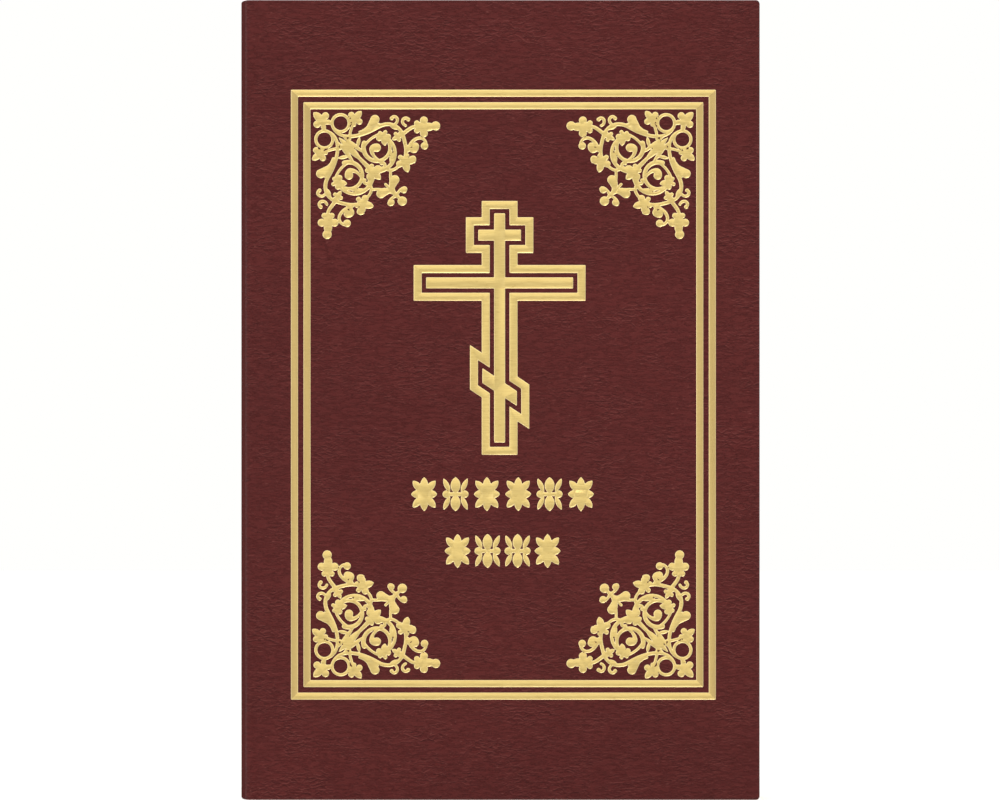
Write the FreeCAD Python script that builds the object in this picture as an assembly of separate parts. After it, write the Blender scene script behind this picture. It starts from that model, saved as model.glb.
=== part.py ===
import FreeCAD, Part
import math
import os

from FreeCAD import Vector

# Case-bound prayer book, standing on the tail edges of its covers. Millimetres.
# +Z is the head, the front cover faces -Y, the spine is at -X and the fore-edge at +X.
# The origin is the middle of the footprint. In plan the book is the same on both sides of y = 0.

# Case: two boards and a spine strip in one leatherette skin.
WIDTH = 112.0
HEIGHT = 172.5
LEATHER = 0.45
BOARD = 2.0
TURN_IN = 0.3
TURN_IN_WIDTH = 14.0
PASTEDOWN = 0.15
EDGE_ROUND = 0.8
BOARD_SPINE_X = -51.5

# Text block: sewn sections with a page marker in the middle opening.
SECTIONS = 10
SECTION = 1.92
MARKER_GAP = 0.3
SQUARE = 3.0
FLYLEAF = 0.15
TITLE_LEAF = 0.12
CLEAR = 0.05
LINING = 0.45
LINING_CLEAR = 0.1
LINING_MARGIN = 6.0
LEAF_BACK = 0.2

# Sewing, headbands and page marker.
STITCHES = 5
STITCH = 17.0
THREAD_RADIUS = 0.22
THREAD_DEPTH = 0.8
HEADBAND_DEPTH = 1.6
HEADBAND_HEIGHT = 1.5
HEADBAND_OVERLAP = 0.2
HEADBAND_MARGIN = 0.4
MARKER_X = -48.0
MARKER_WIDTH = 6.0
MARKER_THICKNESS = 0.2
MARKER_BOTTOM = 0.5
MARKER_RISE = 0.8

# Rounded spine: every layer is an arc about the same centre line.
SPINE_RADIUS = 57.0
INLAY = 0.7
INLAY_HALF = 9.6
HOLLOW = 0.8

# Groove where a cover swings: the hinge line runs through a rolled strip of cloth.
HINGE_X = -53.3
HINGE_Y = 12.2
HINGE_CLOTH_RADIUS = 0.4
TONGUE_START = 0.75
TONGUE_FLAT = 0.3
PANEL_HALF = 10.2

# Leatherette round the corner from spine to groove, in plan: the outer face bows out between
# its ends, the inner face lies a skin's thickness inside it.
JOINT_START_Y = 10.25
JOINT_OUTER_BOW = (-54.68, -11.14)
JOINT_OUTER_END = (-53.95, -11.74)
JOINT_INNER_BOW = (-54.3, -10.92)
JOINT_INNER_END = (-53.7, -11.34)

# Gold foil, pressed into the front leatherette.
FOIL = 0.06
FOIL_DEPTH = 0.12
FRAME_X = 0.73
FRAME_Z = 87.4
FRAME_WIDTH = 91.6
FRAME_HEIGHT = 131.5
FRAME_BAND = 1.5
FRAME_GAP = 1.2

# Three-bar cross in plan of the cover: widths and heights of its bars.
CROSS_X = -0.08
CROSS_FOOT_Z = 77.1
CROSS_TOP_Z = 126.5
CROSS_BAR = 2.35
TOP_BAR_Z = 121.8
TOP_BAR_HALF = 4.6
MAIN_BAR_Z = 111.5
MAIN_BAR_HALF = 15.85
FOOT_BAR_Z = 89.05
FOOT_BAR_HALF = 3.72
FOOT_BAR_SLOPE = 0.666
FOOT_BAR_HEIGHT = 3.2
BORDER_GAP = 0.95
BORDER_BAND = 1.75

# Ornaments: vine scrolls in the frame's corners and two rows of lozenges under the cross.
# Places in a corner are measured along its two legs from the inner frame's corner.
VINE_INSET = 0.5
SCROLL_AT = (14.3, 8.4)
SCROLL_RADIUS = 2.9
LOOP_AT = (6.6, 3.2)
LOOP_RADIUS = 2.1
SCROLL_BAND = 0.9
BERRY_RADIUS = 1.0
BERRY_AT = (26.8, 3.6)
DIAGONAL_BERRY = 19.4
# Leaves of one leg: place of the stalk, length, width and direction.
VINE_LEAVES = (
    ((10.0, 1.6), 5.6, 2.2, (1, 0.3)),
    ((19.0, 9.6), 6.0, 2.4, (0.4, -1)),
    ((19.0, 13.0), 5.0, 2.2, (0.2, 1)),
    ((22.2, 3.4), 3.4, 2.0, (1, 0)),
)
ORNAMENT_X = 0.55
ORNAMENT_ROWS = ((65.95, 6, 39.4), (53.7, 4, 25.0))
LOZENGE_WIDTH = 5.6
LOZENGE_HEIGHT = 7.2

# Levels that follow from the sizes above, measured outwards from the middle of the book.
BLOCK_HALF = MARKER_GAP / 2 + SECTION * SECTIONS / 2
TITLE_IN = BLOCK_HALF + CLEAR
FLY_IN = TITLE_IN + TITLE_LEAF + CLEAR
COVER_IN = FLY_IN + FLYLEAF + CLEAR
TURN_IN_IN = COVER_IN + PASTEDOWN
BOARD_IN = TURN_IN_IN + TURN_IN
BOARD_OUT = BOARD_IN + BOARD
COVER_OUT = BOARD_OUT + LEATHER

HALF = WIDTH / 2
ARC_X = -HALF + SPINE_RADIUS
BLOCK_RADIUS = SPINE_RADIUS - LEATHER - INLAY - HOLLOW - LINING
BLOCK_BOTTOM = SQUARE
BLOCK_TOP = HEIGHT - SQUARE
FORE_EDGE_X = HALF - SQUARE


def arc_x(radius, y):
    """The x of a spine arc at a distance y from the middle of the book."""
    return ARC_X - math.sqrt(radius ** 2 - y ** 2)


SECTION_WIDTH = FORE_EDGE_X - arc_x(BLOCK_RADIUS, BLOCK_HALF)
LEAF_X = arc_x(BLOCK_RADIUS, BLOCK_HALF) + LEAF_BACK


def box(x0, x1, y0, y1, z0, z1):
    return Part.makeBox(x1 - x0, y1 - y0, z1 - z0, Vector(x0, y0, z0))


def line(a, b):
    return Part.makeLine(Vector(*a, 0), Vector(*b, 0))


def arc(a, middle, b):
    return Part.Arc(Vector(*a, 0), Vector(*middle, 0), Vector(*b, 0)).toShape()


def extrude_plan(edges, z0, z1):
    """A solid between two heights from a closed outline in plan."""
    face = Part.Face(Part.Wire(edges))
    face.translate(Vector(0, 0, z0))
    return face.extrude(Vector(0, 0, z1 - z0))


def arc_strip(outer, thickness, y0, y1, z0, z1):
    """A strip that follows the rounded spine between two distances y0 and y1."""
    inner = outer - thickness
    middle = (y0 + y1) / 2
    a, b = (arc_x(outer, y0), y0), (arc_x(outer, y1), y1)
    c, d = (arc_x(inner, y1), y1), (arc_x(inner, y0), y0)
    edges = [
        arc(a, (arc_x(outer, middle), middle), b),
        line(b, c),
        arc(c, (arc_x(inner, middle), middle), d),
        line(d, a),
    ]
    return extrude_plan(edges, z0, z1)


def mirrored(shape):
    """The same piece on the other side of the book."""
    return shape.mirror(Vector(0, 0, 0), Vector(0, 1, 0))


def face_plate(points, y_out, depth):
    """A plate in the front cover's face from a closed outline of (x, z) points."""
    corners = [Vector(x, -y_out, z) for x, z in points]
    face = Part.Face(Part.makePolygon(corners + corners[:1]))
    return face.extrude(Vector(0, depth, 0))


def round_plate(x, z, radius, y_out, depth):
    return Part.makeCylinder(radius, depth, Vector(x, -y_out, z), Vector(0, 1, 0))


# ---- gold foil ----

def foil_frame(inset, y_out, depth):
    """One square band of the double frame."""
    def rectangle(grow):
        half_w = FRAME_WIDTH / 2 - grow
        half_h = FRAME_HEIGHT / 2 - grow
        return face_plate(
            [(FRAME_X - half_w, FRAME_Z - half_h), (FRAME_X + half_w, FRAME_Z - half_h),
             (FRAME_X + half_w, FRAME_Z + half_h), (FRAME_X - half_w, FRAME_Z + half_h)],
            y_out, depth)
    return rectangle(inset).cut(rectangle(inset + FRAME_BAND))


def cross_shape(grow, y_out, depth):
    """The three-bar cross, grown outwards by an even margin."""
    half = CROSS_BAR / 2 + grow

    def bar(z, half_length):
        reach = half_length + grow
        return face_plate(
            [(CROSS_X - reach, z - half), (CROSS_X + reach, z - half),
             (CROSS_X + reach, z + half), (CROSS_X - reach, z + half)],
            y_out, depth)

    stem = face_plate(
        [(CROSS_X - half, CROSS_FOOT_Z - grow), (CROSS_X + half, CROSS_FOOT_Z - grow),
         (CROSS_X + half, CROSS_TOP_Z + grow), (CROSS_X - half, CROSS_TOP_Z + grow)],
        y_out, depth)
    reach = FOOT_BAR_HALF + grow
    fall = reach * FOOT_BAR_SLOPE
    rise = FOOT_BAR_HEIGHT / 2 + grow * math.hypot(1, FOOT_BAR_SLOPE)
    foot_bar = face_plate(
        [(CROSS_X - reach, FOOT_BAR_Z + fall - rise), (CROSS_X + reach, FOOT_BAR_Z - fall - rise),
         (CROSS_X + reach, FOOT_BAR_Z - fall + rise), (CROSS_X - reach, FOOT_BAR_Z + fall + rise)],
        y_out, depth)
    solid = stem.fuse([bar(TOP_BAR_Z, TOP_BAR_HALF), bar(MAIN_BAR_Z, MAIN_BAR_HALF), foot_bar])
    return solid.removeSplitter()


def cross_border(y_out, depth):
    """The band that follows the cross at an even distance."""
    outer = cross_shape(BORDER_GAP + BORDER_BAND, y_out, depth)
    return outer.cut(cross_shape(BORDER_GAP, y_out, depth))


def leaf_plate(x, z, length, width, direction, y_out, depth):
    """A pointed leaf from two arcs, with its stalk end at (x, z)."""
    along = Vector(math.cos(direction), 0, math.sin(direction))
    across = Vector(-math.sin(direction), 0, math.cos(direction))
    start = Vector(x, -y_out, z)
    end = start + along * length
    bulge = across * (width / 2)
    middle = (start + end) * 0.5
    edges = [Part.Arc(start, middle + bulge, end).toShape(),
             Part.Arc(end, middle - bulge, start).toShape()]
    return Part.Face(Part.Wire(edges)).extrude(Vector(0, depth, 0))


def corner_vines(y_out, depth):
    """A scroll, leaves and berries in each corner, the same about the corner's diagonal."""
    inset = 2 * FRAME_BAND + FRAME_GAP + VINE_INSET
    solids = []
    for side in (-1, 1):
        for end in (-1, 1):
            corner_x = FRAME_X + side * (FRAME_WIDTH / 2 - inset)
            corner_z = FRAME_Z + end * (FRAME_HEIGHT / 2 - inset)

            def place(u, v):
                return corner_x - side * u, corner_z - end * v

            def heading(u, v):
                return math.atan2(-end * v, -side * u)

            diagonal = heading(1, 1)
            solids.append(leaf_plate(*place(1.0, 1.0), 5.0, 2.4, diagonal, y_out, depth))
            solids.append(leaf_plate(*place(10.6, 10.6), 6.4, 3.4, diagonal, y_out, depth))
            berry = place(DIAGONAL_BERRY, DIAGONAL_BERRY)
            solids.append(round_plate(*berry, BERRY_RADIUS, y_out, depth))
            for swap in (False, True):
                def at(u, v, swap=swap):
                    return place(v, u) if swap else place(u, v)

                def toward(u, v, swap=swap):
                    return heading(v, u) if swap else heading(u, v)

                for spot, radius in ((SCROLL_AT, SCROLL_RADIUS), (LOOP_AT, LOOP_RADIUS)):
                    ring = round_plate(*at(*spot), radius, y_out, depth)
                    hole = round_plate(*at(*spot), radius - SCROLL_BAND, y_out, depth)
                    solids.append(ring.cut(hole))
                for spot, length, width, way in VINE_LEAVES:
                    leaf = leaf_plate(*at(*spot), length, width, toward(*way), y_out, depth)
                    solids.append(leaf)
                solids.append(round_plate(*at(*BERRY_AT), BERRY_RADIUS, y_out, depth))
    return Part.makeCompound(solids)


def title_ornament(y_out, depth):
    """Two rows of lozenges under the cross."""
    solids = []
    for z, count, length in ORNAMENT_ROWS:
        pitch = (length - LOZENGE_WIDTH) / (count - 1)
        for index in range(count):
            x = ORNAMENT_X + (index - (count - 1) / 2) * pitch
            half_w = LOZENGE_WIDTH / 2
            half_h = LOZENGE_HEIGHT / 2
            solids.append(face_plate(
                [(x - half_w, z), (x, z - half_h), (x + half_w, z), (x, z + half_h)],
                y_out, depth))
    return Part.makeCompound(solids)


def foil_nodes(y_out, depth):
    return {
        "gilt_outer_frame": foil_frame(0, y_out, depth),
        "gilt_inner_frame": foil_frame(FRAME_BAND + FRAME_GAP, y_out, depth),
        "gilt_cross": cross_shape(0, y_out, depth),
        "gilt_cross_border": cross_border(y_out, depth),
        "gilt_corner_vines": corner_vines(y_out, depth),
        "gilt_title_ornament": title_ornament(y_out, depth),
    }


# ---- case ----

def cover_board():
    """The board of the front cover, with its edges softened."""
    solid = box(BOARD_SPINE_X, HALF - LEATHER, -BOARD_OUT, -BOARD_IN, LEATHER, HEIGHT - LEATHER)
    outer = [edge for edge in solid.Edges if edge.BoundBox.YMax < -BOARD_OUT + CLEAR]
    return solid.makeFillet(EDGE_ROUND - LEATHER, outer)


def cover_skin():
    """The leatherette of the front cover: face, edges, turn-ins and the tongue to the groove."""
    skin = box(BOARD_SPINE_X, HALF, -COVER_OUT, -TURN_IN_IN, 0, HEIGHT)
    rounded = [
        edge for edge in skin.Edges
        if edge.BoundBox.YMax < -COVER_OUT + CLEAR and edge.BoundBox.XMax > BOARD_SPINE_X + CLEAR
    ]
    skin = skin.makeFillet(EDGE_ROUND, rounded)
    window = box(BOARD_SPINE_X, HALF - TURN_IN_WIDTH, -BOARD_IN, -TURN_IN_IN,
                 TURN_IN_WIDTH, HEIGHT - TURN_IN_WIDTH)
    skin = skin.cut([cover_board(), window])
    # The tongue leaves the board's spine edge and runs towards the hinge line.
    start = HINGE_X + TONGUE_START
    low, high = -HINGE_Y - LEATHER / 2, -HINGE_Y + LEATHER / 2
    bend = start + TONGUE_FLAT
    outline = [(start, low), (bend, low), (BOARD_SPINE_X, -COVER_OUT), (BOARD_SPINE_X, high),
               (start, high)]
    edges = [line(outline[i], outline[(i + 1) % len(outline)]) for i in range(len(outline))]
    return skin.fuse(extrude_plan(edges, 0, HEIGHT)).removeSplitter()


def pastedown():
    """The endpaper on the inside of the front cover. It fills the window between the turn-ins."""
    sheet = box(BOARD_SPINE_X, HALF - SQUARE, -TURN_IN_IN, -COVER_IN, SQUARE, HEIGHT - SQUARE)
    window = box(BOARD_SPINE_X, HALF - TURN_IN_WIDTH, -BOARD_IN, -TURN_IN_IN,
                 TURN_IN_WIDTH, HEIGHT - TURN_IN_WIDTH)
    return sheet.fuse(window)


def hinge_cloth():
    """The rolled strip in the front groove, round about the line that the cover swings on."""
    return Part.makeCylinder(HINGE_CLOTH_RADIUS, HEIGHT, Vector(HINGE_X, -HINGE_Y, 0))


def joint_skin():
    """The leatherette round the corner from the spine to the front groove."""
    outer_start = (arc_x(SPINE_RADIUS, JOINT_START_Y), -JOINT_START_Y)
    inner_start = (arc_x(SPINE_RADIUS - LEATHER, JOINT_START_Y), -JOINT_START_Y)
    edges = [
        arc(outer_start, JOINT_OUTER_BOW, JOINT_OUTER_END),
        line(JOINT_OUTER_END, JOINT_INNER_END),
        arc(JOINT_INNER_END, JOINT_INNER_BOW, inner_start),
        line(inner_start, outer_start),
    ]
    return extrude_plan(edges, 0, HEIGHT)


def spine_skin():
    """The leatherette over the spine, with turned-in ends."""
    skin = arc_strip(SPINE_RADIUS, LEATHER, -PANEL_HALF, PANEL_HALF, 0, HEIGHT)
    inside = SPINE_RADIUS - LEATHER
    for z0, z1 in ((0, TURN_IN_WIDTH), (HEIGHT - TURN_IN_WIDTH, HEIGHT)):
        skin = skin.fuse(arc_strip(inside - INLAY, TURN_IN, -INLAY_HALF, INLAY_HALF, z0, z1))
    for z0, z1 in ((0, LEATHER), (HEIGHT - LEATHER, HEIGHT)):
        skin = skin.fuse(arc_strip(inside, INLAY, -INLAY_HALF, INLAY_HALF, z0, z1))
    return skin.removeSplitter()


def spine_inlay():
    """The card strip that stiffens the spine."""
    return arc_strip(SPINE_RADIUS - LEATHER, INLAY, -INLAY_HALF, INLAY_HALF,
                     LEATHER, HEIGHT - LEATHER)


# ---- text block ----

def section_span(number):
    """The two distances from the middle between which a section lies, inner one first."""
    steps = SECTIONS // 2 - number if number <= SECTIONS // 2 else number - SECTIONS // 2 - 1
    inner = MARKER_GAP / 2 + steps * SECTION
    side = -1 if number <= SECTIONS // 2 else 1
    return side * inner, side * (inner + SECTION)


def sewing_thread(number):
    """A row of stitches in the fold of a section."""
    pitch = (BLOCK_TOP - BLOCK_BOTTOM) / STITCHES
    y = sum(section_span(number)) / 2
    x = arc_x(BLOCK_RADIUS, y) + THREAD_DEPTH
    solids = []
    for index in range(STITCHES):
        z = BLOCK_BOTTOM + (index + 0.5) * pitch - STITCH / 2
        solids.append(Part.makeCylinder(THREAD_RADIUS, STITCH, Vector(x, y, z)))
    return Part.makeCompound(solids)


def section(number):
    """One sewn section of sixteen leaves, rounded at the spine and hollow at the fore-edge."""
    y0, y1 = sorted(section_span(number))
    middle = (y0 + y1) / 2
    spine = [(arc_x(BLOCK_RADIUS, y), y) for y in (y0, middle, y1)]
    fore_edge = [(x + SECTION_WIDTH, y) for x, y in spine]
    edges = [arc(*spine), line(spine[2], fore_edge[2]), arc(*reversed(fore_edge)),
             line(fore_edge[0], spine[0])]
    solid = extrude_plan(edges, BLOCK_BOTTOM, BLOCK_TOP)
    return solid.cut(sewing_thread(number))


def spine_lining(number):
    """The strip of lining glued to the back of one section."""
    y0, y1 = sorted(section_span(number))
    return arc_strip(BLOCK_RADIUS + LINING, LINING, y0 + LINING_CLEAR, y1 - LINING_CLEAR,
                     BLOCK_BOTTOM + LINING_MARGIN, BLOCK_TOP - LINING_MARGIN)


def headband(z0):
    """The corded band at one end of the text block's spine."""
    half = BLOCK_HALF - HEADBAND_MARGIN
    return arc_strip(BLOCK_RADIUS + HEADBAND_OVERLAP, HEADBAND_DEPTH, -half, half,
                     z0, z0 + HEADBAND_HEIGHT)


def page_marker():
    """The ribbon that lies in the middle opening."""
    half = MARKER_THICKNESS / 2
    return box(MARKER_X, MARKER_X + MARKER_WIDTH, -half, half, MARKER_BOTTOM, BLOCK_TOP + MARKER_RISE)


def loose_leaf(inner, thickness):
    """A single leaf in front of the first section."""
    return box(LEAF_X, FORE_EDGE_X, -inner - thickness, -inner, BLOCK_BOTTOM, BLOCK_TOP)


def build():
    depth = FOIL_DEPTH
    pockets = foil_nodes(COVER_OUT, depth)
    foil = foil_nodes(COVER_OUT - depth + FOIL, FOIL)
    front_skin = cover_skin()
    nodes = {
        "spine_leatherette": spine_skin(),
        "spine_inlay": spine_inlay(),
        "front_joint_leatherette": joint_skin(),
        "back_joint_leatherette": mirrored(joint_skin()),
        "front_hinge_cloth": hinge_cloth(),
        "back_hinge_cloth": mirrored(hinge_cloth()),
        "front_leatherette": front_skin.cut(list(pockets.values())),
        "front_board": cover_board(),
        "front_pastedown": pastedown(),
        "back_leatherette": mirrored(front_skin),
        "back_board": mirrored(cover_board()),
        "back_pastedown": mirrored(pastedown()),
        "headband": headband(BLOCK_TOP + CLEAR),
        "tailband": headband(BLOCK_BOTTOM - CLEAR - HEADBAND_HEIGHT),
        "ribbon_marker": page_marker(),
        "front_flyleaf": loose_leaf(FLY_IN, FLYLEAF),
        "title_leaf": loose_leaf(TITLE_IN, TITLE_LEAF),
        "last_leaf": mirrored(loose_leaf(TITLE_IN, TITLE_LEAF)),
        "back_flyleaf": mirrored(loose_leaf(FLY_IN, FLYLEAF)),
    }
    nodes.update(foil)
    for number in range(1, SECTIONS + 1):
        nodes[f"section_{number:02d}"] = section(number)
        nodes[f"spine_lining_{number:02d}"] = spine_lining(number)
        nodes[f"sewing_thread_{number:02d}"] = sewing_thread(number)
    return nodes


os.makedirs("parts", exist_ok=True)
for name, shape in build().items():
    shape.exportStep(f"parts/{name}.step")
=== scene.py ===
import math

import bmesh
import bpy
import numpy as np
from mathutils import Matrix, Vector
from mathutils.geometry import delaunay_2d_cdt


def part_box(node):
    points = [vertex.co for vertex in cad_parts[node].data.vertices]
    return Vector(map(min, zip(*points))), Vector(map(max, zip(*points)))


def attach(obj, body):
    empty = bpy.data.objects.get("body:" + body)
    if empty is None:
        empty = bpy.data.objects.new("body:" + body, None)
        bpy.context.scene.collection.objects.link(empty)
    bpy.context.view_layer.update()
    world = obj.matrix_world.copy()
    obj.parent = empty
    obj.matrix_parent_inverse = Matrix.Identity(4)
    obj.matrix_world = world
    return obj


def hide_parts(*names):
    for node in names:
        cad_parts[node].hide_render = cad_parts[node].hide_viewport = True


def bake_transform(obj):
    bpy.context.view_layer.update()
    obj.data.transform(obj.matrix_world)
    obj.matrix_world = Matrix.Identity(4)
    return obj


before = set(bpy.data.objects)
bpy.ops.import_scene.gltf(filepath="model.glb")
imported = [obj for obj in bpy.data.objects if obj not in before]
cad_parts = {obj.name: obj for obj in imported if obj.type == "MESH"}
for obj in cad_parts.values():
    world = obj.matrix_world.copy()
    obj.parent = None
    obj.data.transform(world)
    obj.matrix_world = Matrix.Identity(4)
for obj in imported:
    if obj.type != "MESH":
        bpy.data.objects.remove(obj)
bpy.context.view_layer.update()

# Lengths are in millimetres until a mesh is made. Levels across the book are read off the frame.
MM = 0.001
SEED = 7


def low(node):
    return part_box(node)[0] / MM


def high(node):
    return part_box(node)[1] / MM


HEIGHT = high("front_leatherette").z
FORE_X = high("front_leatherette").x
COVER_OUT = -low("front_leatherette").y
TURN_IN_Y = -high("front_leatherette").y
BOARD_X = low("front_board").x
HINGE = (low("front_hinge_cloth") + high("front_hinge_cloth")) / 2
SPINE_X = low("spine_leatherette").x
PANEL_HALF = high("spine_leatherette").y
BLOCK_Z = (low("section_01").z, high("section_01").z)
BLOCK_FORE_X = high("section_01").x
BLOCK_HALF = high("section_10").y
SECTION_COUNT = sum(name.startswith("section_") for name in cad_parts)
FIRST_SECTION = "section_01"
LAST_SECTION = f"section_{SECTION_COUNT:02d}"
SECTION = BLOCK_HALF - low("section_10").y
MARKER_GAP = 2 * (BLOCK_HALF - SECTION * SECTION_COUNT / 2)
LEAF_X = low("title_leaf").x

GROOVE_OUT = COVER_OUT - 0.4
EDGE_ROUND = 0.8
EDGE_SOFT = 0.44
CORNER_ROUND = 0.85
TURN_IN_WIDTH = 14.0
TURN_IN_ROUND = 0.5
TURN_IN_LAP = 0.28
LEAVES_PER_SECTION = 16
LEAF_PITCH = SECTION / LEAVES_PER_SECTION
SPINE_RADIUS = 57.0
SPINE_CENTRE_X = SPINE_X + SPINE_RADIUS
SPINE_WALL = 1.45
JOINT_WALL = 1.0
GUTTER_DEPTH = 11.35
LEAF_SHARE = 0.74
TRIM = 0.06
PAPER = 0.06
BLOCK_RADIUS = SPINE_CENTRE_X - low("section_05").x
MARKER_THICK = 0.14
MARKER_TWIST = 1.0
MARKER_LIFT = 0.25
MARKER_LEAN = 4.2
MARKER_FLAT = 3.4
MARKER_GATHER = 0.25
MARKER_DRIFT = 1.2
MARKER_NOTCH = 1.2
HEADBAND_CORD = 0.78
HEADBAND_OVERLAP = 0.2

# Colours, linear.
LEATHER_DARK = (0.064, 0.0075, 0.0072)
LEATHER_LIGHT = (0.096, 0.0122, 0.0112)
LEATHER_GLINT = (0.116, 0.0172, 0.0156)
# Painted shade and painted highlight on the two sides of the leather's creases.
LEATHER_CREASE_PAINTED_SHADE = (0.040, 0.0045, 0.0045)
LEATHER_CREASE_PAINTED_HIGHLIGHT = (0.165, 0.040, 0.035)
LEATHER_SPECK = (0.21, 0.062, 0.052)
# Painted sheen for where the leather is seen edge on.
LEATHER_PAINTED_SHEEN = (0.092, 0.030, 0.028)
GOLD_DARK = (0.70, 0.50, 0.17)
GOLD_LIGHT = (0.85, 0.65, 0.25)
GOLD_WORN = (0.60, 0.40, 0.12)
GOLD_UPRIGHT = (0.58, 0.41, 0.165)
# Painted highlight on the foil's pressed rim.
GOLD_RIM_HIGHLIGHT = (0.93, 0.76, 0.40)
PAGE_LIGHT = (0.96, 0.90, 0.75)
PAGE_DARK = (0.83, 0.76, 0.60)
ENDPAPER_LIGHT = (0.86, 0.79, 0.63)
ENDPAPER_DARK = (0.77, 0.69, 0.53)

# Gold foil.
FRAME_CENTRE = (0.73, 87.4)
FRAME_HALF = (45.8, 65.75)
FRAME_BAND = 1.5
FRAME_GAP = 1.2
CROSS_X = -0.08
CROSS_FOOT_Z = 77.1
CROSS_TOP_Z = 126.5
CROSS_HALF = 1.18
TOP_BAR = (121.8, 4.6)
MAIN_BAR = (111.5, 15.85)
FOOT_Z = 89.05
FOOT_HALF = 3.72
FOOT_THICK = 3.2
FOOT_SLOPE = 0.666
TITLE_X = 0.55
TITLE_ROWS = ((65.95, 6, 39.4), (53.7, 4, 25.0))
MOTIF_WIDTH = 5.6
FOIL_DEPTH = 0.1
FOIL_RIM = 0.16
SMALLEST_HOLE = 0.12
VINE_REACH = 30.0
BORDER_GAP = 0.95
BORDER_BAND = 1.72
FAR = 1e3


# ---- meshes ----

def make_object(name, verts_mm, faces, material, smooth_angle=35):
    """A mesh object from points in millimetres. Its resting place is kept for the textures."""
    points = np.asarray(verts_mm, float)
    mesh = bpy.data.meshes.new(name)
    mesh.from_pydata((points * MM).tolist(), [], [list(map(int, face)) for face in faces])
    mesh.update()
    rest = mesh.attributes.new("rest", "FLOAT_VECTOR", "POINT")
    rest.data.foreach_set("vector", points.astype(np.float32).ravel())
    mesh.shade_smooth()
    mesh.set_sharp_from_angle(angle=math.radians(smooth_angle))
    obj = bpy.data.objects.new(name, mesh)
    bpy.context.scene.collection.objects.link(obj)
    mesh.materials.append(material)
    return obj


def mirror_points(points):
    """The same points on the other side of the book."""
    return [(x, -y, z) for x, y, z in points]


def mirror_faces(faces):
    return [tuple(reversed(face)) for face in faces]


def loft(rows, closed_across, caps):
    """Points and faces of a skin over rows of equally many points."""
    count = len(rows[0])
    points = [tuple(point) for row in rows for point in row]
    faces = []
    for i in range(len(rows) - 1):
        for j in range(count if closed_across else count - 1):
            k = (j + 1) % count
            faces.append((i * count + j, i * count + k, (i + 1) * count + k, (i + 1) * count + j))
    if caps:
        faces.append(tuple(reversed(range(count))))
        faces.append(tuple(range((len(rows) - 1) * count, len(rows) * count)))
    return points, faces


def bezier(a, b, c, d, steps):
    """Points on a cubic curve in plan."""
    a, b, c, d = (np.array(p, float) for p in (a, b, c, d))
    out = []
    for i in range(steps + 1):
        t = i / steps
        out.append(a * (1 - t) ** 3 + b * 3 * t * (1 - t) ** 2 + c * 3 * t * t * (1 - t) + d * t ** 3)
    return out


def sheet(path, thickness, z0, z1, rounding):
    """A sheet that stands on a path in plan, with rounded head and tail edges.

    The path is the outer face. The sheet's thickness lies on the left of its direction."""
    path = np.array(path, float)
    tangent = np.gradient(path, axis=0)
    tangent /= np.linalg.norm(tangent, axis=1)[:, None]
    inward = np.stack([-tangent[:, 1], tangent[:, 0]], axis=1)
    section = []
    steps = 4
    for middle, start in (((rounding, z0 + rounding), math.pi),
                          ((thickness - rounding, z0 + rounding), 1.5 * math.pi),
                          ((thickness - rounding, z1 - rounding), 0.0),
                          ((rounding, z1 - rounding), 0.5 * math.pi)):
        for k in range(steps + 1):
            angle = start + k / steps * math.pi / 2
            section.append((middle[0] + rounding * math.cos(angle), middle[1] + rounding * math.sin(angle)))
        if start == 1.5 * math.pi or start == 0.5 * math.pi:
            rungs = 24
            first, last = section[-1], (section[-1][0], z1 - rounding if start > math.pi else z0 + rounding)
            for k in range(1, rungs):
                section.append((first[0], first[1] + (last[1] - first[1]) * k / rungs))
    rows = []
    for point, normal in zip(path, inward):
        rows.append([(point[0] + normal[0] * o, point[1] + normal[1] * o, z) for o, z in section])
    return loft(rows, True, True)


# ---- foil design, as distances in the plane of the cover (negative inside) ----

def sd_box(x, z, cx, cz, hx, hz):
    dx, dz = np.abs(x - cx) - hx, np.abs(z - cz) - hz
    return np.hypot(np.maximum(dx, 0), np.maximum(dz, 0)) + np.minimum(np.maximum(dx, dz), 0)


def sd_disc(x, z, cx, cz, radius):
    return np.hypot(x - cx, z - cz) - radius


def sd_stroke(x, z, points, widths):
    """A stroke along points whose half width goes through the given widths."""
    distance = np.full(np.shape(x), FAR)
    spread = np.interp(np.linspace(0, 1, len(points)), np.linspace(0, 1, len(widths)), widths)
    for (ax, az), (bx, bz), ra, rb in zip(points, points[1:], spread, spread[1:]):
        px, pz, dx, dz = x - ax, z - az, bx - ax, bz - az
        t = np.clip((px * dx + pz * dz) / max(dx * dx + dz * dz, 1e-9), 0, 1)
        distance = np.minimum(distance, np.hypot(px - dx * t, pz - dz * t) - (ra + (rb - ra) * t))
    return distance


def sd_leaf(x, z, base, tip, width):
    """A pointed leaf between two points."""
    bx, bz = base
    dx, dz = tip[0] - bx, tip[1] - bz
    length = math.hypot(dx, dz)
    ux, uz = dx / length, dz / length
    along = (x - bx) * ux + (z - bz) * uz - length / 2
    across = np.abs(-(x - bx) * uz + (z - bz) * ux)
    radius = (length ** 2 + width ** 2) / (4 * width)
    return np.hypot(along, across + radius - width / 2) - radius


def arc_points(cx, cz, radius, start, end, steps=18, end_radius=None):
    """Points on an arc, or on a spiral if the end radius differs. Angles in degrees."""
    end_radius = radius if end_radius is None else end_radius
    out = []
    for i in range(steps + 1):
        t = i / steps
        angle = math.radians(start + (end - start) * t)
        r = radius + (end_radius - radius) * t
        out.append((cx + r * math.cos(angle), cz + r * math.sin(angle)))
    return out


def curve_points(a, b, c, d, steps=14):
    return [tuple(p) for p in bezier(a, b, c, d, steps)]


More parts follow.
